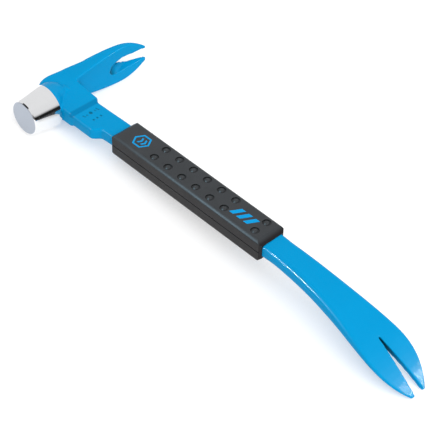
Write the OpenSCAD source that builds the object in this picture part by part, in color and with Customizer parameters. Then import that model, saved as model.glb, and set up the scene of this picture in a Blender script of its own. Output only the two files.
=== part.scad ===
// Ten-inch claw bar with a hammer poll: one forging, a bright striking cap,
// a two-shell moulded grip and its coloured inlays.
//
// Tool axes while modelling: X runs down the bar from the poll's axis to the
// flat claw, Y runs from the striking face to the head claw, Z is the normal
// of the studded grip face.  Everything is moved at the end so that the
// origin is under the middle of the bounding box.

/* [Whole tool] */
// Length from the back of the head to the tips of the flat claw
overall_length = 254; // [240:1:270]
// Distance from the poll's axis to the back of the head
head_back = 13.3; // [12.5:0.1:14]

/* [Striking cap] */
// Distance from the bar's axis to the striking face
face_reach = 27.9; // [26:0.1:32]
// Diameter of the striking face
face_d = 18.6; // [16:0.1:20]
// Diameter of the cap's rear rim
rim_d = 22.8; // [21:0.1:25]
// Length of the cap
cap_len = 15.8; // [14:0.1:17]
// Chamfer round the striking face
face_chamfer = 0.7; // [0.3:0.1:1.2]
// Diameter of the spigot that carries the cap
spigot_d = 12; // [10:0.5:14]

/* [Head claw] */
// Distance from the bar's axis to the tips of the head claw
claw_reach = 54; // [52:0.1:58]
// Greatest half width of the head claw
claw_half_w = 11; // [9.8:0.1:11.4]
// Half width of the nail slot at its seat, on the inner face
slot_seat_hw = 3.9; // [3.5:0.05:4.4]
// Half gap between the prongs at the tips
slot_tip_hw = 3.45; // [3:0.05:3.6]

/* [Neck and shank] */
// Half width of the shank inside the grip
shank_hw = 6.6; // [6:0.1:7]
// Thickness of the shank
shank_t = 6.9; // [6:0.1:7.2]
// Reach of the neck towards the striking side
neck_near = 11.1; // [10:0.1:12]
// Radius on the long edges of the bar
edge_r = 1.5; // [0.8:0.1:2]
// Radius on the long edges of the flat claw, before it thins
blade_edge_r = 2.5; // [1:0.1:2.8]

/* [Flat claw] */
// Greatest half width of the flat claw
blade_hw = 12.4; // [11:0.1:13.5]
// Radius of the gentle first bend
bend_1_r = 200; // [180:5:260]
// Radius of the second, tighter bend
bend_2_r = 128; // [115:1:140]
// Angle of the tips below the bar's axis
bend_angle = 34; // [30:0.5:36]
// Thickness near the tips
tip_t = 2.2; // [1.8:0.1:3]
// Length of the V slot
vee_len = 26.2; // [20:0.5:30]
// Half gap of the V slot at the tips
vee_tip_hw = 2.8; // [2.4:0.1:3.6]
// Sideways set of the V slot towards the head claw's side
claw_set = 0.9; // [0:0.1:1.2]

/* [Grip] */
// Distance from the poll's axis to the grip
grip_start = 43.7; // [42:0.1:46]
// Length of the grip
grip_len = 104.4; // [98:0.2:106]
// Width of the grip
grip_w = 16.5; // [15.6:0.1:18]
// Height of the grip over both shells
grip_h = 13.1; // [12:0.1:14.5]
// Radius on the grip's long edges
grip_r = 2; // [1.2:0.1:2.6]
// Length of the bevel at each end
grip_bevel = 3; // [2:0.1:3.6]
// Spacing of the studs along the grip
stud_pitch = 9.7; // [9:0.1:10]
// Spacing of the two rows of studs
stud_rows = 7.76; // [7:0.02:8.4]
// Diameter of the recess round each stud
stud_ring_d = 4.5; // [4:0.1:5]
// Diameter of each stud
stud_d = 3; // [2.4:0.1:3.2]

/* [Hidden] */

$fn = 48;
paint_blue = [0, 0.55, 0.85];
grip_black = [0.16, 0.16, 0.17];
cap_silver = [0.82, 0.83, 0.85];

tip_x = overall_length - head_back;
grip_end = grip_start + grip_len;

// Neck: the block behind the cap, and how its top climbs towards the claw
block_far = 7.5;
block_near = 0.5;
neck_far = 6;
block_t = 8.8;
block_rise = 1.6;
block_rise_x = 15;
neck_start = -3;
step_x = [16.2, 18.6];
far_step_x = [15.2, 17.8];
shoulder_x = [31.2, 36.2];

// Flat claw: where the bends run, measured down the bar's top face
bend_start = grip_end + 2;
bend_1_angle = 9.5;
bend_1_dx = bend_1_r * sin(bend_1_angle);
bend_1_dz = bend_1_r * (1 - cos(bend_1_angle));
bend_2_dx = bend_2_r * (sin(bend_angle) - sin(bend_1_angle));
bend_2_dz = bend_2_r * (cos(bend_1_angle) - cos(bend_angle));
straight_x = bend_start + bend_1_dx + bend_2_dx;
straight_z = shank_t / 2 - bend_1_dz - bend_2_dz;
blade_wide_x = tip_x - 21;
tip_hw = 4.3;
tip_bevel = [3, 1.4];
tip_r = 0.35;
taper_start = tip_x - 53;

// Lowest point of the flat claw's tips
tip_low = top_at(tip_x) - tip_t * cos(bend_at(tip_x));

// Head: half thickness over the poll and at its nose, and how far its top
// slopes down towards the neck block
head_hw = 6.15;
nose_hw = 4.1;
nose_y = -11;
block_slope = 0.2;
head_in_x = 5;

// Back edge of the head: nose, crown over the bar, waist, and prongs
crown_y = [-3, 6];
crown_in = 1.35;
waist_y = 20;
waist_x = -8.3;
prong_y = 40;
prong_x = -4.45;

// Head claw
claw_inner_x = -0.5;
claw_root_y = 7.6;
claw_widest_y = 38;
claw_tip_hw = 4.5;
claw_hook = 0.7;
back_vee_y = 36.8;
back_vee_len = 12;
back_vee_hw = 0.9;
back_root_hw = 0.15;
back_mouth_hw = slot_tip_hw + 1.6;
back_x = -5.4;
seat_y = 29.4 + slot_seat_hw;
seat_set = -0.4;

// Placing of the whole tool
shift = [(head_back - tip_x) / 2, (face_reach - claw_reach) / 2, -tip_low];

function smooth(t) = let (c = max(0, min(1, t))) c * c * (3 - 2 * c);
function ramp(x, x0, x1, a, b) = a + (b - a) * smooth((x - x0) / (x1 - x0));

// Closed ring of a bar section with its top face at 0 and its bottom at -t.
// The top corners are round (radius r); the bottom corners are quarter
// ellipses, w wide and h high, so a thinning edge can be bevelled from below.
corner_steps = 5;
function corner(c, w, h, a0) =
    [for (i = [0 : corner_steps]) let (a = a0 + 90 * i / corner_steps)
        [c[0] + w * cos(a), c[1] + h * sin(a)]];
function section(near, far, t, r, w, h) = concat(
    corner([far - r, -r], r, r, 0),
    corner([r - near, -r], r, r, 90),
    corner([w - near, h - t], w, h, 180),
    corner([far - w, h - t], w, h, 270));

// Solid through a list of rings that all have the same number of points
module loft(rings) {
    n = len(rings[0]);
    m = len(rings);
    sides = [for (i = [0 : m - 2], j = [0 : n - 1])
        let (a = i * n + j, b = i * n + (j + 1) % n)
        each [[a, b + n, b], [a, a + n, b + n]]];
    first = [for (j = [0 : n - 1]) j];
    last = [for (j = [n - 1 : -1 : 0]) (m - 1) * n + j];
    polyhedron([for (r = rings) each r], concat(sides, [first], [last]), convexity = 8);
}

// Bar: from inside the head to the flat claw's tips -------------------------

function bar_near(x) = x < grip_start
    ? ramp(x, step_x[0], step_x[1], block_near, 0)
        + ramp(x, shoulder_x[0], shoulder_x[1], neck_near, shank_hw + 0.5)
        - ramp(x, shoulder_x[1], grip_start, 0, 0.5)
    : shank_hw;
function bar_far(x) = ramp(x, far_step_x[0], far_step_x[1], block_far, neck_far)
    + ramp(x, far_step_x[1], grip_start, 0, shank_hw - neck_far);
function bar_t(x) = ramp(x, step_x[0], step_x[1], block_t, shank_t);
function rise_at(x) = block_rise * pow(max(0, 1 - max(0, x) / block_rise_x), 1.3);

function blade_w(x) = let (t = (x - grip_end) / (blade_wide_x - grip_end),
                           u = (x - blade_wide_x) / (tip_x - blade_wide_x))
    t < 0 ? shank_hw
    : t < 1 ? shank_hw + (blade_hw - shank_hw) * (0.46 * t + 0.54 * smooth(pow(t, 2.2)))
    : blade_hw - (blade_hw - tip_hw) * pow(u, 2.4);

// Angle and height of the top face at a distance x down the bar
function bend_at(x) =
    x < bend_start ? 0
    : x < bend_start + bend_1_dx ? asin((x - bend_start) / bend_1_r)
    : x < straight_x
        ? asin(sin(bend_1_angle) + (x - bend_start - bend_1_dx) / bend_2_r)
        : bend_angle;
function top_at(x) = let (a = bend_at(x))
    x < bend_start ? shank_t / 2
    : x < bend_start + bend_1_dx ? shank_t / 2 - bend_1_r * (1 - cos(a))
    : x < straight_x
        ? shank_t / 2 - bend_1_dz - bend_2_r * (cos(bend_1_angle) - cos(a))
        : straight_z - (x - straight_x) * tan(bend_angle);

// The prongs' outline follows the V slot a little over half of the way
follow = 0.55;
follow_x = [blade_wide_x - 14, blade_wide_x + 6];
function set_at(x) = ramp(x, follow_x[0], follow_x[1], 0, follow * claw_set);

// A neck ring stands taller on its far side, by rise_at(x)
function neck_ring(x) =
    let (t = bar_t(x), n = bar_near(x), f = bar_far(x), up = rise_at(x))
    [for (p = section(n, f, t, edge_r, edge_r, edge_r))
        let (z = p[1] + t / 2)
        [x, p[0], z + sign(z) * up * (p[0] + n) / (n + f)]];
function blade_ring(x) =
    let (a = bend_at(x), w = blade_w(x),
         f = pow(smooth((x - taper_start) / (tip_x - taper_start)), 0.8),
         t = shank_t + (tip_t - shank_t) * f,
         r0 = ramp(x, grip_end, grip_end + 8, edge_r, blade_edge_r),
         r = r0 + (tip_r - r0) * f,
         bw = r0 + (tip_bevel[0] - r0) * f,
         bh = r0 + (tip_bevel[1] - r0) * f)
    [for (p = section(w, w, t, r, bw, bh))
        [x + p[1] * sin(a), set_at(x) + p[0], top_at(x) + p[1] * cos(a)]];

neck_stations = concat([neck_start, 0, 3, 6, 9, 12, far_step_x[0]],
    [for (i = [1 : 6]) far_step_x[0] + (step_x[1] - far_step_x[0]) * i / 6],
    [25, shoulder_x[0]],
    [for (i = [1 : 8]) shoulder_x[0] + (shoulder_x[1] - shoulder_x[0]) * i / 8],
    [40, grip_start]);
blade_steps = 34;
edge_steps = 10;
blade_stations = concat([grip_end],
    [for (i = [0 : blade_steps]) bend_start + (blade_wide_x - bend_start) * i / blade_steps],
    [for (i = [1 : edge_steps]) let (u = 1 - pow(1 - i / edge_steps, 1.6))
        blade_wide_x + (tip_x - blade_wide_x) * u]);

module bar() {
    difference() {
        loft(concat([for (x = neck_stations) neck_ring(x)],
                    [for (x = blade_stations) blade_ring(x)]));
        vee_slot();
        size_marks();
    }
}

// V slot of the flat claw, with a small round at its root
module vee_slot() {
    root_r = 0.35;
    over = 4;
    mouth = vee_tip_hw * (vee_len + over) / vee_len;
    translate([tip_x - vee_len, claw_set, tip_low - 10])
        linear_extrude(60)
            union() {
                circle(r = root_r, $fn = 24);
                polygon([[0, -root_r], [vee_len + over, -mouth],
                         [vee_len + over, mouth], [0, root_r]]);
            }
}

// Stamped marks on the neck: bars either side of a lozenge, then small lozenges
module lozenge(long, wide) {
    polygon([[-long / 2, 0], [0, -wide / 2], [long / 2, 0], [0, wide / 2]]);
}
module size_marks() {
    depth = 0.45;
    bar_w = 0.75;
    translate([22, -2.6, shank_t / 2 - depth])
        linear_extrude(depth + 1)
            union() {
                for (y = [-4.4, -2.7, 2.7, 4.4])
                    translate([0, y])
                        polygon([[-1.3, -bar_w], [1.3, 0], [1.3, bar_w], [-1.3, 0]]);
                lozenge(3, 2.2);
                for (i = [-1 : 1])
                    translate([5.2, 2.4 * i])
                        lozenge(2.1, 1.5);
            }
}

// Head: block, poll neck and claw ------------------------------------------

// Back edge of the head and claw at height y along the head
function head_out(y) =
    y < crown_y[0] ? -head_back + 3.4 * pow((crown_y[0] - y) / (crown_y[0] - head_nose_y), 2.6)
    : y < crown_y[1]
        ? -head_back + 1.5 * pow((y - crown_y[0]) / (crown_y[1] - crown_y[0]), 1.5)
    : y < waist_y ? ramp(y, crown_y[1] - 2, waist_y + 2, crown_in - head_back, waist_x + 0.25)
    : y < prong_y ? waist_x + (prong_x - waist_x) * (y - waist_y) / (prong_y - waist_y)
    : let (t = (y - prong_y) / (claw_reach - prong_y)) prong_x + 2.3 * t + 1.4 * t * t;
function head_half(y) =
    y < 0 ? head_hw - (head_hw - nose_hw) * pow(y / nose_y, 1.6)
    : y < claw_widest_y
        ? head_hw + (claw_half_w - head_hw) * smooth(pow(y / claw_widest_y, 0.9))
    : claw_half_w - (claw_half_w - claw_tip_hw)
        * pow((y - claw_widest_y) / (claw_reach - claw_widest_y), 2);
function head_in(y) = ramp(y, 3, claw_root_y, head_in_x, claw_inner_x)
    + claw_hook * pow(max(0, y - 30) / (claw_reach - 30), 2);

// A head ring is thinner on the neck's side, so its top runs into the block
function head_ring(y) =
    let (x0 = head_out(y), x1 = head_in(y), h = head_half(y), w = x1 - x0,
         r = min(1.1, 0.32 * w), thin = ramp(y, 2, claw_root_y + 2, block_slope, 0))
    [for (p = section(h, h, w, r, r, r)) [x1 + p[1], y, p[0] * (1 - thin * (1 + p[1] / w))]];

head_nose_y = -10.8;
head_stations = concat(
    [for (i = [0 : 6]) head_nose_y + (crown_y[0] - head_nose_y) * i / 6],
    [for (i = [1 : 9]) crown_y[0] + (10 - crown_y[0]) * i / 9],
    [for (i = [1 : 14]) 10 + (claw_widest_y - 10) * i / 14],
    [for (i = [1 : 10]) claw_widest_y
        + (claw_reach - claw_widest_y) * (1 - pow(1 - i / 10, 1.4))]);

// Nail slot: a bevelled seat, U-shaped on the inner face, that narrows to a
// slender V on the back.  Both outlines have the same number of points.
slot_steps = 8;
function slot_front() = let (mouth_y = claw_reach + 3) concat(
    [[mouth_y, slot_tip_hw]],
    [for (i = [0 : slot_steps]) let (a = 90 + 180 * i / slot_steps)
        [seat_y + slot_seat_hw * cos(a), seat_set + slot_seat_hw * sin(a)]],
    [[mouth_y, -slot_tip_hw]]);
function slot_back() = let (mouth_y = claw_reach + 3) concat(
    [[mouth_y, back_mouth_hw]],
    [for (i = [0 : slot_steps]) let (t = 1 - 2 * i / slot_steps, u = abs(t))
        [back_vee_y + back_vee_len * pow(u, 1.5),
         sign(t) * (back_root_hw + back_vee_hw * pow(u, 2.2))]],
    [[mouth_y, -back_mouth_hw]]);
module nail_slot() {
    front_x = claw_inner_x + claw_hook + 0.8;
    grow = (front_x - claw_inner_x) / (claw_inner_x - back_x);
    front = slot_front();
    back = slot_back();
    loft([
        [for (p = back) [back_x, p[0], p[1]]],
        [for (i = [0 : len(front) - 1]) let (p = front[i] + (front[i] - back[i]) * grow)
            [front_x, p[0], p[1]]]]);
}

module head() {
    difference() {
        loft([for (y = head_stations) head_ring(y)]);
        nail_slot();
    }
}

// Round neck behind the striking cap: a cone that swells quickly and leans
// towards the back of the head, then the spigot inside the cap
neck_turns = 48;
neck_nose_y = 0.6;
neck_nose_r = 4.5;
neck_lean = 2.5;
spigot_y = face_reach - 4.2;
function poll_ring(t) =
    let (rim_y = face_reach - cap_len,
         r = neck_nose_r + (rim_d / 2 - 0.5 - neck_nose_r) * pow(t, 0.48),
         c = -neck_lean * (1 - smooth((t - 0.45) / 0.55)))
    [for (k = [0 : neck_turns - 1]) let (a = 360 * k / neck_turns)
        [c + r * cos(a), -neck_nose_y - (rim_y - neck_nose_y) * t, r * sin(a)]];
module poll_neck() {
    steps = 9;
    loft([for (i = [0 : steps]) poll_ring(pow(i / steps, 1.6))]);
    rotate([90, 0, 0])
        cylinder(d = spigot_d, h = spigot_y);
}

module forged_bar() {
    color(paint_blue)
        union() {
            bar();
            head();
            poll_neck();
        }
}

module striking_cap() {
    socket_gap = 0.02;
    socket_y = face_reach - 4;
    rim_y = face_reach - cap_len;
    color(cap_silver)
        rotate([90, 0, 0])
            rotate_extrude()
                polygon([[spigot_d / 2 + socket_gap, rim_y],
                         [rim_d / 2 - 0.4, rim_y],
                         [rim_d / 2, rim_y + 0.4],
                         [face_d / 2, face_reach - face_chamfer],
                         [face_d / 2 - face_chamfer, face_reach],
                         [0, face_reach],
                         [0, socket_y],
                         [spigot_d / 2 + socket_gap, socket_y]]);
}

// Grip ----------------------------------------------------------------------

stud_x = concat([for (i = [0 : 5]) 71.2 + stud_pitch * i], [140.1]);
inlay_depth = 0.6;
inlay_proud = 0.05;
emblem_at = [58.5, -0.6];
badge_at = [130.2, -0.8];

module round_bar_2d(w, h, r) {
    union() {
        square([w - 2 * r, h], center = true);
        square([w, h - 2 * r], center = true);
        for (y = [-1, 1], z = [-1, 1])
            translate([y * (w / 2 - r), z * (h / 2 - r)])
                circle(r = r, $fn = 32);
    }
}

// Outside of the whole grip, both ends bevelled on all four sides
module grip_blank() {
    end_in = 1.1;
    bevel_z = 2.6;
    bevel_y = 1.2;
    intersection() {
        translate([grip_start, 0, 0])
            rotate([90, 0, 90])
                linear_extrude(grip_len)
                    round_bar_2d(grip_w, grip_h, grip_r);
        rotate([90, 0, 0])
            translate([0, 0, -grip_w])
                linear_extrude(2 * grip_w)
                    polygon([
                        [grip_start, grip_h / 2 - bevel_z],
                        [grip_start + grip_bevel, grip_h / 2],
                        [grip_end - grip_bevel, grip_h / 2],
                        [grip_end, grip_h / 2 - bevel_z],
                        [grip_end, -grip_h / 2 + bevel_z],
                        [grip_end - grip_bevel, -grip_h / 2],
                        [grip_start + grip_bevel, -grip_h / 2],
                        [grip_start, -grip_h / 2 + bevel_z]]);
        translate([0, 0, -grip_h])
            linear_extrude(2 * grip_h)
                polygon([
                    [grip_start, grip_w / 2 - bevel_y],
                    [grip_start + end_in, grip_w / 2],
                    [grip_end - end_in, grip_w / 2],
                    [grip_end, grip_w / 2 - bevel_y],
                    [grip_end, -grip_w / 2 + bevel_y],
                    [grip_end - end_in, -grip_w / 2],
                    [grip_start + end_in, -grip_w / 2],
                    [grip_start, -grip_w / 2 + bevel_y]]);
    }
}

module emblem_2d() {
    r = 5;
    line = 1;
    translate(emblem_at) {
        difference() {
            circle(r = r, $fn = 6);
            circle(r = r - line, $fn = 6);
        }
        for (x = [-1.7, 0.7])
            translate([x, 0])
                polygon([[0, -2], [1, -2], [2, 0], [1, 2], [0, 2], [1, 0]]);
    }
}

module badge_2d() {
    slant = 1.6;
    translate(badge_at)
        for (i = [-1 : 1])
            translate([4.6 * i, 0])
                polygon([[-1.3 - slant, -2.8], [1.3 - slant, -2.8],
                         [1.3 + slant, 2.8], [-1.3 + slant, 2.8]]);
}

// One moulded half: the upper shell as drawn, the lower one is its mirror
module grip_shell() {
    cavity_gap = 0.1;
    seam_depth = 0.45;
    seam_w = 0.5;
    ring_depth = 0.45;
    dome_r = 1.8;
    dome_rise = 0.35;
    top = grip_h / 2;
    color(grip_black)
        difference() {
            union() {
                difference() {
                    intersection() {
                        grip_blank();
                        translate([grip_start - 1, -grip_w, 0])
                            cube([grip_len + 2, 2 * grip_w, grip_h]);
                    }
                    for (x = stud_x, y = [-1, 1])
                        translate([x, y * stud_rows / 2, top - ring_depth])
                            cylinder(d = stud_ring_d, h = 2);
                }
                for (x = stud_x, y = [-1, 1])
                    translate([x, y * stud_rows / 2, 0])
                        intersection() {
                            translate([0, 0, top + dome_rise - dome_r])
                                sphere(r = dome_r);
                            translate([0, 0, top - 1])
                                cylinder(d = stud_d, h = 2);
                        }
            }
            translate([grip_start - 1, 0, 0])
                rotate([90, 0, 90])
                    linear_extrude(grip_len + 2)
                        round_bar_2d(2 * (shank_hw + cavity_gap),
                                     shank_t + 2 * cavity_gap, edge_r);
            for (y = [-1, 1])
                translate([grip_start - 1, y * grip_w / 2 - seam_depth, -seam_w / 2])
                    cube([grip_len + 2, 2 * seam_depth, seam_w]);
            translate([0, 0, top - inlay_depth])
                linear_extrude(2)
                    inlay_pockets();
        }
}

// Pockets for the inlays, drawn at the inlays' own size
module inlay_pockets() {
    emblem_2d();
    badge_2d();
}

module emblem_inlay() {
    color(paint_blue)
        translate([0, 0, grip_h / 2 - inlay_depth])
            linear_extrude(inlay_depth + inlay_proud)
                emblem_2d();
}

module badge_inlay() {
    color(paint_blue)
        translate([0, 0, grip_h / 2 - inlay_depth])
            linear_extrude(inlay_depth + inlay_proud)
                badge_2d();
}

module lower_side() {
    rotate([180, 0, 0])
        children();
}

module placed() {
    translate(shift)
        children();
}

placed() forged_bar();
placed() striking_cap();
placed() grip_shell();  // grip_shell_upper
placed() lower_side() grip_shell();  // grip_shell_lower
placed() emblem_inlay();  // emblem_inlay_upper
placed() lower_side() emblem_inlay();  // emblem_inlay_lower
placed() badge_inlay();  // badge_inlay_upper
placed() lower_side() badge_inlay();  // badge_inlay_lower
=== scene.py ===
# %% [markdown]
# A short claw bar, dressed in paint, chrome and rubber.
#
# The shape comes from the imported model, which loads as a fixed frame. What is
# left to make here is what the eye reads: the softened edges of a painted
# forging, the bright turned cap, the grained rubber of the grip, and a quiet
# studio round them. Lengths are metres, and helper values are in millimetres.

# %% Load the frame
import math

import bmesh
import bpy
from mathutils import Matrix, Vector


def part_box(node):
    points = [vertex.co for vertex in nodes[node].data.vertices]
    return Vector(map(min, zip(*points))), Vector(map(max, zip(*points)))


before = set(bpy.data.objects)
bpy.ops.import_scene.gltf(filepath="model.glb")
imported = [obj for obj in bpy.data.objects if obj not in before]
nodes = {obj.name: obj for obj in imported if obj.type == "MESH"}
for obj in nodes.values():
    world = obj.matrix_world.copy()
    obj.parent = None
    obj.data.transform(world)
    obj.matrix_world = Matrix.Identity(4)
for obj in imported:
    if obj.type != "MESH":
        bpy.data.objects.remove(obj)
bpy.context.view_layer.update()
MM = 0.001
print("nodes:", sorted(nodes))

# %% [markdown]
# ## Where the tool touches the ground
# A claw bar laid down rocks onto three points: the tips of the flat claw, the
# rim of the striking cap and the lower prong of the head claw. The floor could
# be drawn flat at height zero, but then the head would hang in the air. The
# lower side of the convex hull holds the answer: the hull face under the
# tool's middle is the plane it really rests on, so the floor is laid there.

# %% Find the resting plane from the convex hull
def resting_plane(objects):
    hull = bmesh.new()
    for ob in objects:
        for v in ob.data.vertices:
            hull.verts.new(v.co)
    made = bmesh.ops.convex_hull(hull, input=hull.verts)
    middle = sum((v.co for v in hull.verts), Vector()) / len(hull.verts)
    for face in (g for g in made["geom"] if isinstance(g, bmesh.types.BMFace)):
        if face.normal.z > -0.9:
            continue
        a, b, c = (v.co.copy() for v in face.verts)
        n = face.normal.copy()
        foot = middle - n * (middle - a).dot(n)
        turns = [(q - p).cross(foot - p).dot(n) for p, q in ((a, b), (b, c), (c, a))]
        if min(turns) > 0 or max(turns) < 0:
            hull.free()
            return foot, -n
    hull.free()
    return Vector((0, 0, 0)), Vector((0, 0, 1))


ground_point, ground_normal = resting_plane(nodes.values())
tilt = math.degrees(ground_normal.angle(Vector((0, 0, 1))))
print("floor tilt in degrees:", round(tilt, 2), "point:", [round(v / MM, 2) for v in ground_point])

# %% [markdown]
# ## The camera
# A long lens from above and to the side of the poll keeps the bar's edges
# nearly parallel. The camera is placed by its own position, the way it faces
# and a small roll, because a hand-held product view is seldom quite level.

# %% Camera
eye = Vector((361.05, -382.6, 508.16)) * MM
facing = Vector((-0.50870, 0.51854, -0.68727))
camera_roll = math.radians(2.436)
lens_mm = 123.14

camera_data = bpy.data.cameras.new("camera")
camera_data.lens = lens_mm
camera_data.sensor_width = 36
camera_data.clip_start = 0.01
camera = bpy.data.objects.new("camera", camera_data)
turn = facing.to_track_quat("-Z", "Y").to_matrix() @ Matrix.Rotation(camera_roll, 3, "Z")
camera.matrix_world = Matrix.Translation(eye) @ turn.to_4x4()
bpy.context.scene.collection.objects.link(camera)
bpy.context.scene.camera = camera
bpy.context.scene.view_settings.view_transform = "Standard"
print("camera looks from", [round(v, 3) for v in eye])

# %% [markdown]
# ## The studio
# Gloss paint and chrome show the room more than themselves, so the room is
# designed first. A pale floor fills the lower half of every reflection, and an
# even pale dome the upper half. On one side a dark flag stands on the horizon,
# which gives the chrome its one crisp dark line, and a small dark patch hangs
# behind the poll for the cap's chamfer. Both are painted into the world, where
# they can cast no shadow. A wide lamp overhead only adds colour. Three small
# ones at the sides are only seen in gloss, as streaks along rounded edges, and
# each is linked to the pieces that it is meant for: two to the painted bar and
# one, bluer, to the grip.

# %% Floor and world
floor_size = 6.0
corner = floor_size / 2
paper_grey = 0.62
paper_glow = 0.42
floor_mesh = bpy.data.meshes.new("floor")
floor_mesh.from_pydata(
    [(-corner, -corner, 0), (corner, -corner, 0), (corner, corner, 0), (-corner, corner, 0)],
    [], [(0, 1, 2, 3)])
floor = bpy.data.objects.new("floor", floor_mesh)
floor.matrix_world = (Matrix.Translation(ground_point)
                      @ ground_normal.to_track_quat("Z", "Y").to_matrix().to_4x4())
bpy.context.scene.collection.objects.link(floor)

floor_paper = bpy.data.materials.new("floor_paper")
floor_paper.use_nodes = True
paper = floor_paper.node_tree.nodes["Principled BSDF"]
paper.inputs["Base Color"].default_value = (paper_grey, paper_grey, paper_grey, 1)
paper.inputs["Roughness"].default_value = 0.9
paper.inputs["Specular IOR Level"].default_value = 0.1
paper.inputs["Emission Color"].default_value = (1, 1, 1, 1)
paper.inputs["Emission Strength"].default_value = paper_glow
floor_mesh.materials.append(floor_paper)

dome_grey = 0.84
cool = 1.005
flag_side = (0.25, 0.6)
flag_bands = ((0.0, 0.01), (0.26, 0.015), (0.34, 0.42), (0.43, 0.74), (0.55, 0.8), (1.0, dome_grey))
patch_way = Vector((-0.42, -0.73, 0.54)).normalized()
patch_rim = (0.93, 0.95)
patch_dark = (0.02, 0.018, 0.018, 1)

world = bpy.data.worlds.new("studio")
bpy.context.scene.world = world
world.use_nodes = True
wt = world.node_tree
wt.nodes.clear()
w_out = wt.nodes.new("ShaderNodeOutputWorld")
w_bg = wt.nodes.new("ShaderNodeBackground")
w_ramp = wt.nodes.new("ShaderNodeValToRGB")
w_split = wt.nodes.new("ShaderNodeSeparateXYZ")
w_dir = wt.nodes.new("ShaderNodeTexCoord")
wt.links.new(w_dir.outputs["Generated"], w_split.inputs[0])
wt.links.new(w_split.outputs["Z"], w_ramp.inputs["Fac"])
flag = wt.nodes.new("ShaderNodeMapRange")
flag.interpolation_type = "SMOOTHSTEP"
flag.inputs["From Min"].default_value, flag.inputs["From Max"].default_value = flag_side
wt.links.new(w_split.outputs["X"], flag.inputs["Value"])
w_mix = wt.nodes.new("ShaderNodeMix")
w_mix.data_type = "RGBA"
w_mix.inputs["A"].default_value = (dome_grey, dome_grey, dome_grey * cool, 1)
wt.links.new(flag.outputs["Result"], w_mix.inputs["Factor"])
wt.links.new(w_ramp.outputs["Color"], w_mix.inputs["B"])
w_patch = wt.nodes.new("ShaderNodeVectorMath")
w_patch.operation = "DOT_PRODUCT"
w_patch.inputs[1].default_value = patch_way
wt.links.new(w_dir.outputs["Generated"], w_patch.inputs[0])
patch = wt.nodes.new("ShaderNodeMapRange")
patch.inputs["From Min"].default_value, patch.inputs["From Max"].default_value = patch_rim
wt.links.new(w_patch.outputs["Value"], patch.inputs["Value"])
w_dark = wt.nodes.new("ShaderNodeMix")
w_dark.data_type = "RGBA"
w_dark.inputs["B"].default_value = patch_dark
wt.links.new(patch.outputs["Result"], w_dark.inputs["Factor"])
wt.links.new(w_mix.outputs["Result"], w_dark.inputs["A"])
wt.links.new(w_dark.outputs["Result"], w_bg.inputs["Color"])
wt.links.new(w_bg.outputs["Background"], w_out.inputs["Surface"])
w_bands = w_ramp.color_ramp.elements
while len(w_bands) < len(flag_bands):
    w_bands.new(0.5)
for band, (place, grey) in zip(w_bands, flag_bands):
    band.position = place
    band.color = (grey, grey, grey * cool, 1)
w_bg.inputs["Strength"].default_value = 1.0
print("world bands:", len(w_bands))

# %% Lamps
def soft_lamp(name, azimuth, elevation, distance, size, power, colour=(1, 1, 1)):
    data = bpy.data.lights.new(name, "AREA")
    data.shape = "RECTANGLE"
    data.size, data.size_y = size
    data.energy = power
    data.color = colour
    lamp = bpy.data.objects.new(name, data)
    a, e = math.radians(azimuth), math.radians(elevation)
    towards = Vector((math.cos(a) * math.cos(e), math.sin(a) * math.cos(e), math.sin(e)))
    place = towards * distance
    lamp.matrix_world = (Matrix.Translation(place)
                         @ (-towards).to_track_quat("-Z", "Y").to_matrix().to_4x4())
    bpy.context.scene.collection.objects.link(lamp)
    return lamp


near_side = (-118, 33)
claw_side = (37, 31)
strip_distance = 1.2
cool_white = (0.86, 0.94, 1.0)
sheen_blue = (0.55, 0.83, 1.0)

overhead = soft_lamp("overhead_box", -15, 46, 2.6, (2.6, 2.2), 62)
overhead.visible_glossy = False
strip = soft_lamp("edge_strip", *near_side, strip_distance, (0.36, 0.2), 85, cool_white)
strip.visible_diffuse = False
claw_strip = soft_lamp("claw_strip", *claw_side, strip_distance, (0.26, 0.2), 25, cool_white)
claw_strip.visible_diffuse = False
streaked = bpy.data.collections.new("streaked")
streaked.objects.link(nodes["forged_bar"])
for lamp in (strip, claw_strip):
    lamp.light_linking.receiver_collection = streaked
sheen = soft_lamp("grip_sheen", *near_side, strip_distance, (0.5, 0.5), 26, sheen_blue)
sheen.visible_diffuse = False
gripped = bpy.data.collections.new("gripped")
for name in nodes:
    if name not in ("striking_cap", "forged_bar"):
        gripped.objects.link(nodes[name])
sheen.light_linking.receiver_collection = gripped
print("lamps:", len(bpy.data.lights))

# %% [markdown]
# ## Shared surface effects
# Every finish on the tool needs the same few things: a relief that breaks up
# the reflection, and a colour and roughness that aren't quite even. The paint
# and the rubber also need a mask of the edges, for a painted highlight, and one
# of the hollows, for painted shade. Each is one shader group with named
# sockets, built once, and placed in each material with its own numbers. The
# groups only hand out heights, colours and masks. The shader itself stays in
# the material, so its plain values stay plain.

# %% Group helpers
def new_group(name, inputs, outputs):
    tree = bpy.data.node_groups.new(name, "ShaderNodeTree")
    for label, kind, value in inputs:
        socket = tree.interface.new_socket(label, in_out="INPUT", socket_type=kind)
        if value is not None:
            socket.default_value = value
    for label, kind in outputs:
        tree.interface.new_socket(label, in_out="OUTPUT", socket_type=kind)
    return tree, tree.nodes.new("NodeGroupInput"), tree.nodes.new("NodeGroupOutput")


def math_node(tree, operation, a, b=None, clamp=False):
    node = tree.nodes.new("ShaderNodeMath")
    node.operation = operation
    node.use_clamp = clamp
    for socket, value in zip(node.inputs, (a, b)):
        if value is None:
            continue
        if isinstance(value, (int, float)):
            socket.default_value = value
        else:
            tree.links.new(value, socket)
    return node.outputs[0]


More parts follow.
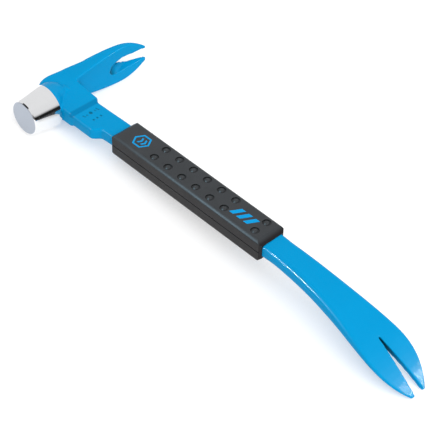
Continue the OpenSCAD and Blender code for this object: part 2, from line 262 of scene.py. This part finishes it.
def noise_node(tree, place, scale, detail=2.0, roughness=0.5):
    node = tree.nodes.new("ShaderNodeTexNoise")
    node.inputs["Detail"].default_value = detail
    node.inputs["Roughness"].default_value = roughness
    tree.links.new(place, node.inputs["Vector"])
    if isinstance(scale, (int, float)):
        node.inputs["Scale"].default_value = scale
    else:
        tree.links.new(scale, node.inputs["Scale"])
    return node.outputs["Fac"]


FLOAT, VECTOR, COLOUR = "NodeSocketFloat", "NodeSocketVector", "NodeSocketColor"

# %% Group: relief, a fine texture over a broad waviness
relief, g_in, g_out = new_group(
    "relief",
    [("Place", VECTOR, None), ("Fine Scale", FLOAT, 2000.0), ("Fine Height", FLOAT, 1.0),
     ("Broad Scale", FLOAT, 120.0), ("Broad Height", FLOAT, 1.0)],
    [("Height", FLOAT)])
fine_grain = noise_node(relief, g_in.outputs["Place"], g_in.outputs["Fine Scale"], 3, 0.55)
broad_wave = noise_node(relief, g_in.outputs["Place"], g_in.outputs["Broad Scale"], 2, 0.5)
fine_part = math_node(relief, "MULTIPLY", fine_grain, g_in.outputs["Fine Height"])
broad_part = math_node(relief, "MULTIPLY", broad_wave, g_in.outputs["Broad Height"])
relief.links.new(math_node(relief, "ADD", fine_part, broad_part), g_out.inputs["Height"])

# %% Group: drift, a slow change between two colours and two roughnesses
drift, g_in, g_out = new_group(
    "drift",
    [("Place", VECTOR, None), ("Scale", FLOAT, 60.0), ("Colour A", COLOUR, None),
     ("Colour B", COLOUR, None), ("Smooth", FLOAT, 0.2), ("Dull", FLOAT, 0.3)],
    [("Colour", COLOUR), ("Roughness", FLOAT)])
slow = noise_node(drift, g_in.outputs["Place"], g_in.outputs["Scale"], 4, 0.6)
spread = drift.nodes.new("ShaderNodeMapRange")
spread.inputs["From Min"].default_value = 0.3
spread.inputs["From Max"].default_value = 0.7
drift.links.new(slow, spread.inputs["Value"])
blend = drift.nodes.new("ShaderNodeMix")
blend.data_type = "RGBA"
drift.links.new(spread.outputs["Result"], blend.inputs["Factor"])
drift.links.new(g_in.outputs["Colour A"], blend.inputs["A"])
drift.links.new(g_in.outputs["Colour B"], blend.inputs["B"])
drift.links.new(blend.outputs["Result"], g_out.inputs["Colour"])
gloss = drift.nodes.new("ShaderNodeMapRange")
drift.links.new(slow, gloss.inputs["Value"])
gloss.inputs["From Min"].default_value = 0.3
gloss.inputs["From Max"].default_value = 0.7
drift.links.new(g_in.outputs["Smooth"], gloss.inputs["To Min"])
drift.links.new(g_in.outputs["Dull"], gloss.inputs["To Max"])
drift.links.new(gloss.outputs["Result"], g_out.inputs["Roughness"])

# %% Group: edges, a mask where the surface turns quickly
edges, g_in, g_out = new_group(
    "edges",
    [("Place", VECTOR, None), ("Amount", FLOAT, 1.0), ("Break Up", FLOAT, 300.0)],
    [("Mask", FLOAT)])
shape = edges.nodes.new("ShaderNodeNewGeometry")
bevel = edges.nodes.new("ShaderNodeBevel")
bevel.samples = 4
bevel.inputs["Radius"].default_value = 0.5 * MM
facing_dot = edges.nodes.new("ShaderNodeVectorMath")
facing_dot.operation = "DOT_PRODUCT"
edges.links.new(bevel.outputs["Normal"], facing_dot.inputs[0])
edges.links.new(shape.outputs["Normal"], facing_dot.inputs[1])
turned = math_node(edges, "SUBTRACT", 1.0, facing_dot.outputs["Value"], clamp=True)
ragged = noise_node(edges, g_in.outputs["Place"], g_in.outputs["Break Up"], 3, 0.6)
scaled = math_node(edges, "MULTIPLY", turned, g_in.outputs["Amount"])
edges.links.new(math_node(edges, "MULTIPLY", scaled, ragged, clamp=True), g_out.inputs["Mask"])

# %% Group: hollows, a mask in slots, grooves and tight corners
hollows, g_in, g_out = new_group(
    "hollows",
    [("Reach", FLOAT, 3 * MM), ("Open", FLOAT, 0.75), ("Closed", FLOAT, 0.35)],
    [("Mask", FLOAT)])
shelter = hollows.nodes.new("ShaderNodeAmbientOcclusion")
shelter.samples = 8
shelter.only_local = True
hollows.links.new(g_in.outputs["Reach"], shelter.inputs["Distance"])
closing = hollows.nodes.new("ShaderNodeMapRange")
hollows.links.new(shelter.outputs["AO"], closing.inputs["Value"])
hollows.links.new(g_in.outputs["Open"], closing.inputs["From Min"])
hollows.links.new(g_in.outputs["Closed"], closing.inputs["From Max"])
hollows.links.new(closing.outputs["Result"], g_out.inputs["Mask"])
print("shader groups:", [g.name for g in bpy.data.node_groups])

# %% [markdown]
# ## A material's skeleton
# Each finish starts the same way: object coordinates, because every part sits
# at the origin and they read as real lengths, then the drift group for colour
# and roughness, and the relief group through a bump node.

# %% Material helper
def finish_material(name, colour_a, colour_b, smooth, dull, drift_scale,
                    fine, broad, bump_mm, metallic=0.0):
    mat = bpy.data.materials.new(name)
    mat.use_nodes = True
    tree = mat.node_tree
    shader = tree.nodes["Principled BSDF"]
    shader.inputs["Metallic"].default_value = metallic
    coords = tree.nodes.new("ShaderNodeTexCoord")
    place = coords.outputs["Object"]
    d = tree.nodes.new("ShaderNodeGroup")
    d.node_tree = drift
    d.inputs["Scale"].default_value = drift_scale
    d.inputs["Colour A"].default_value = (*colour_a, 1)
    d.inputs["Colour B"].default_value = (*colour_b, 1)
    d.inputs["Smooth"].default_value = smooth
    d.inputs["Dull"].default_value = dull
    tree.links.new(place, d.inputs["Place"])
    tree.links.new(d.outputs["Colour"], shader.inputs["Base Color"])
    tree.links.new(d.outputs["Roughness"], shader.inputs["Roughness"])
    r = tree.nodes.new("ShaderNodeGroup")
    r.node_tree = relief
    r.inputs["Fine Scale"].default_value = fine[0]
    r.inputs["Fine Height"].default_value = fine[1]
    r.inputs["Broad Scale"].default_value = broad[0]
    r.inputs["Broad Height"].default_value = broad[1]
    tree.links.new(place, r.inputs["Place"])
    bump = tree.nodes.new("ShaderNodeBump")
    bump.inputs["Strength"].default_value = 1.0
    bump.inputs["Distance"].default_value = bump_mm * MM
    tree.links.new(r.outputs["Height"], bump.inputs["Height"])
    tree.links.new(bump.outputs["Normal"], shader.inputs["Normal"])
    return mat, tree, shader, place, d.outputs["Colour"], bump


def mask_group(tree, group, values, place=None):
    node = tree.nodes.new("ShaderNodeGroup")
    node.node_tree = group
    for label, value in values.items():
        node.inputs[label].default_value = value
    if place is not None:
        tree.links.new(place, node.inputs["Place"])
    return node.outputs["Mask"]


def tint(tree, under, colour, mask, shader):
    mix = tree.nodes.new("ShaderNodeMix")
    mix.data_type = "RGBA"
    mix.inputs["B"].default_value = (*colour, 1)
    tree.links.new(mask, mix.inputs["Factor"])
    tree.links.new(under, mix.inputs["A"])
    tree.links.new(mix.outputs["Result"], shader.inputs["Base Color"])
    return mix.outputs["Result"]


def fade(tree, value, start, end):
    node = tree.nodes.new("ShaderNodeMapRange")
    tree.links.new(value, node.inputs["Value"])
    node.inputs["From Min"].default_value = start
    node.inputs["From Max"].default_value = end
    return node.outputs["Result"]


# %% [markdown]
# ## Blue gloss paint
# The forging is dipped or sprayed in a thick gloss enamel. Up close it has a
# faint orange peel and, under that, the slow waviness of the hammered steel.
# The edges get a lighter blue, partly from thinner paint and partly as a
# painted highlight. The paint gets painted shade where it is sheltered: in the
# slots, at the end of the nail seat, in the stamped marks on the neck and down
# the step above them. One mask could find all of these by shelter alone, but
# the marks and the step are shallow, so they are picked out by their place
# along, across and up the tool.

# %% Blue gloss paint
paint, tree, shader, place, colour, _ = finish_material(
    "blue_paint", (0.0, 0.256, 0.53), (0.0, 0.269, 0.55), 0.3, 0.36, 55,
    (1400, 0.35), (160, 1.0), 0.02)
edge_highlight_blue, shade_blue = (0.01, 0.38, 0.72), (0.0, 0.035, 0.05)
shader.inputs["Specular IOR Level"].default_value = 0.02
shader.inputs["Coat Weight"].default_value = 0.06
shader.inputs["Coat Roughness"].default_value = 0.07
# Painted highlight: a lighter blue along the edges, partly standing for thinner paint.
edge_highlight_mask = mask_group(tree, edges, {"Amount": 1.2, "Break Up": 260}, place)
colour = tint(tree, colour, edge_highlight_blue, edge_highlight_mask, shader)
# Painted shade: a dark blue in slots, grooves and tight corners.
hollow_shade_mask = mask_group(tree, hollows, {"Reach": 8 * MM, "Open": 0.78, "Closed": 0.3})
colour = tint(tree, colour, shade_blue, hollow_shade_mask, shader)
print("paint nodes:", len(tree.nodes))

# %% Painted shade in the nail seat, the size marks and down the step of the neck
neck_top = 29.51
seat_x, seat_y, seat_z = (-119.2, -114.4), (15, 23), (21, 30.6)
marks_x, marks_y, marks_z = (-94.5, -83), (-22.3, -8.2), (28.8, neck_top)
step_z = (28, 31.5)
seat_shade_blue, mark_shade_blue, step_shade_blue = (0.0, 0.05, 0.075), (0.0, 0.08, 0.13), (0.0, 0.15, 0.33)
seat_share, shade_share = 0.85, 0.75
split = tree.nodes.new("ShaderNodeSeparateXYZ")
tree.links.new(place, split.inputs[0])
along, across, up = split.outputs


def between(value, low, high):
    inside = math_node(tree, "GREATER_THAN", value, low * MM)
    return math_node(tree, "MULTIPLY", inside, math_node(tree, "LESS_THAN", value, high * MM))


def darken(under, dark, mask, share):
    return tint(tree, under, dark, math_node(tree, "MULTIPLY", mask, share), shader)


# Painted shade at the end of the nail seat, fading across it.
seat_end = math_node(tree, "MULTIPLY", between(along, *seat_x), between(up, *seat_z))
seat_end = math_node(tree, "MULTIPLY", seat_end, between(across, *seat_y))
seat_shade_mask = math_node(tree, "MULTIPLY", seat_end, fade(tree, across, 22.4 * MM, 17 * MM))
colour = darken(colour, seat_shade_blue, seat_shade_mask, seat_share)
# Painted shade inside the stamped size marks, below the top of the neck.
below_top = fade(tree, up, (neck_top - 0.05) * MM, (neck_top - 0.2) * MM)
mark_shade_mask = math_node(tree, "MULTIPLY", between(along, *marks_x), between(across, *marks_y))
mark_shade_mask = math_node(tree, "MULTIPLY", mark_shade_mask, between(up, *marks_z))
mark_shade_mask = math_node(tree, "MULTIPLY", below_top, mark_shade_mask, clamp=True)
colour = darken(colour, mark_shade_blue, mark_shade_mask, shade_share)
# Painted shade down the sloped step of the neck.
step_shade_mask = math_node(tree, "MULTIPLY", fade(tree, along, -98.2 * MM, -97.2 * MM),
                      fade(tree, along, -94.6 * MM, -95.4 * MM))
step_shade_mask = math_node(tree, "MULTIPLY", step_shade_mask, between(up, *step_z))
colour = darken(colour, step_shade_blue, step_shade_mask, shade_share)
print("paint nodes with the dark places:", len(tree.nodes))

# %% [markdown]
# ## Bright chrome
# The striking cap is turned on a lathe and plated. Plating keeps the lathe's
# finest rings, so the relief here follows the distance from the cap's own
# axis. It is far too fine to see as lines and only softens the reflection. The
# striking face looks ground and not polished, so it is duller. Its darker,
# bluer colour is partly that ground finish and partly a painted reflection of
# the shaded floor in front of it.

# %% Bright chrome
chrome, tree, shader, place, colour, bump = finish_material(
    "bright_steel", (0.86, 0.865, 0.872), (0.89, 0.895, 0.905), 0.05, 0.09, 120,
    (2600, 0.2), (200, 0.4), 0.002, metallic=1.0)
cap_low, cap_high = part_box("striking_cap")
cap_axis = Vector(((cap_low.x + cap_high.x) / 2, 0, (cap_low.z + cap_high.z) / 2))
shift = tree.nodes.new("ShaderNodeVectorMath")
shift.operation = "SUBTRACT"
shift.inputs[1].default_value = cap_axis
tree.links.new(place, shift.inputs[0])
flatten = tree.nodes.new("ShaderNodeVectorMath")
flatten.operation = "MULTIPLY"
flatten.inputs[1].default_value = (1, 0, 1)
tree.links.new(shift.outputs[0], flatten.inputs[0])
radius = tree.nodes.new("ShaderNodeVectorMath")
radius.operation = "LENGTH"
tree.links.new(flatten.outputs[0], radius.inputs[0])
along = tree.nodes.new("ShaderNodeSeparateXYZ")
tree.links.new(place, along.inputs[0])
ring_place = math_node(tree, "ADD", radius.outputs["Value"], along.outputs["Y"])
rings = tree.nodes.new("ShaderNodeTexNoise")
rings.noise_dimensions = "1D"
rings.inputs["Scale"].default_value = 3500
rings.inputs["Detail"].default_value = 2
tree.links.new(ring_place, rings.inputs["W"])
ring_part = math_node(tree, "MULTIPLY", rings.outputs["Fac"], 0.5)
plating = bump.inputs["Height"].links[0].from_socket
tree.links.new(math_node(tree, "ADD", plating, ring_part), bump.inputs["Height"])
# Painted reflection in part: the striking face's darker, bluer colour also stands for the shaded floor
# it mirrors.
face_depth = fade(tree, along.outputs["Y"], cap_low.y + 0.35 * MM, cap_low.y + 0.1 * MM)
ground_face_shade_grey, ground_roughness = (0.42, 0.46, 0.525), 0.34
tint(tree, colour, ground_face_shade_grey, face_depth, shader)
satin = tree.nodes.new("ShaderNodeMix")
satin.inputs["B"].default_value = ground_roughness
tree.links.new(face_depth, satin.inputs["Factor"])
tree.links.new(shader.inputs["Roughness"].links[0].from_socket, satin.inputs["A"])
tree.links.new(satin.outputs["Result"], shader.inputs["Roughness"])
print("cap axis in mm:", [round(v / MM, 2) for v in cap_axis])

# %% [markdown]
# ## Grained rubber
# The grip is moulded rubber in two halves. The mould is etched, so the skin
# has an even fine grain that turns light into a broad soft sheen. Its corners
# get a paler colour as a painted highlight, its sides a painted shade that is
# darker towards the seam, and the narrow rings round the studs the darkest
# painted shade of all.

# %% Grained rubber
rubber, tree, shader, place, colour, _ = finish_material(
    "black_grip", (0.027, 0.030, 0.033), (0.034, 0.037, 0.041), 0.42, 0.5, 90,
    (2900, 1.0), (420, 0.5), 0.05)
shader.inputs["Specular IOR Level"].default_value = 0.25
seam_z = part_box("grip_shell_upper")[0].z
side_shade_black, grip_highlight_grey, ring_shade_black = (0.007, 0.0055, 0.006), (0.075, 0.08, 0.088), (0.003, 0.003, 0.003)
split = tree.nodes.new("ShaderNodeSeparateXYZ")
tree.links.new(place, split.inputs[0])
from_seam = math_node(tree, "ABSOLUTE", math_node(tree, "SUBTRACT", split.outputs["Z"], seam_z))
# Painted shade: the sides darker towards the seam.
side = fade(tree, from_seam, 5.9 * MM, 4.6 * MM)
colour = tint(tree, colour, side_shade_black, side, shader)
# Painted highlight: paler corners.
grip_edge_highlight = mask_group(tree, edges, {"Amount": 1.2, "Break Up": 500}, place)
colour = tint(tree, colour, grip_highlight_grey, grip_edge_highlight, shader)
# Painted shade: near black in the rings round the studs and other narrow grooves.
groove_shade_mask = mask_group(tree, hollows, {"Reach": 1.2 * MM, "Open": 0.88, "Closed": 0.6})
tint(tree, colour, ring_shade_black, groove_shade_mask, shader)
print("seam height in mm:", round(seam_z / MM, 2))

# %% [markdown]
# ## Satin blue inlay
# The coloured marks are thin moulded pieces set into the rubber. They share
# the paint's hue but not its gloss, with a finer version of the same grain.

# %% Satin blue inlay
inlay, tree, shader, *_ = finish_material(
    "blue_inlay", (0.0, 0.27, 0.60), (0.0, 0.3, 0.64), 0.36, 0.46, 200,
    (3200, 0.8), (600, 0.4), 0.015)
shader.inputs["Specular IOR Level"].default_value = 0.08

# %% Give each node its material
finishes = {"forged_bar": paint, "striking_cap": chrome,
            "grip_shell_upper": rubber, "grip_shell_lower": rubber,
            "emblem_inlay_upper": inlay, "emblem_inlay_lower": inlay,
            "badge_inlay_upper": inlay, "badge_inlay_lower": inlay}
for name, mat in finishes.items():
    for slot in nodes[name].material_slots:
        slot.material = mat
print("finishes:", {n: m.name for n, m in finishes.items()})

# %% [markdown]
# ## Softening the forging
# A drop forging has no sharp corner anywhere, and paint rounds it further.
# Beveling a mesh that was cut and joined leaves cracks and spikes. Instead the
# bar is rebuilt on a fine even grid and relaxed a few times, which rounds
# every edge and softens the crease where the poll's neck meets the head.

# %% Remesh and relax the bar
bar = nodes["forged_bar"]
grid = bar.modifiers.new("even_grid", "REMESH")
grid.mode = "VOXEL"
grid.voxel_size = 0.38 * MM
grid.use_smooth_shade = True
relax = bar.modifiers.new("relax", "SMOOTH")
relax.factor = 0.5
relax.iterations = 3
print("bar grid in mm:", round(grid.voxel_size / MM, 2))

# %% [markdown]
# ## Crisp parts
# The cap, the shells and the inlays keep their machined and moulded edges, so
# each only gets a tiny bevel to catch the light. The points are welded first,
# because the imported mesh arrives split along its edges.

# %% Weld and bevel the rest
def crisp_edges(ob, width_mm, segments=2, angle=30):
    weld = ob.modifiers.new("weld", "WELD")
    weld.merge_threshold = 0.001 * MM
    edge = ob.modifiers.new("edge", "BEVEL")
    edge.limit_method = "ANGLE"
    edge.angle_limit = math.radians(angle)
    edge.width = width_mm * MM
    edge.segments = segments
    edge.use_clamp_overlap = True
    edge.harden_normals = True


for name in ("grip_shell_upper", "grip_shell_lower"):
    crisp_edges(nodes[name], 0.12)
for name in ("emblem_inlay_upper", "emblem_inlay_lower", "badge_inlay_upper", "badge_inlay_lower"):
    crisp_edges(nodes[name], 0.04, 1)
crisp_edges(nodes["striking_cap"], 0.15, 3, 20)
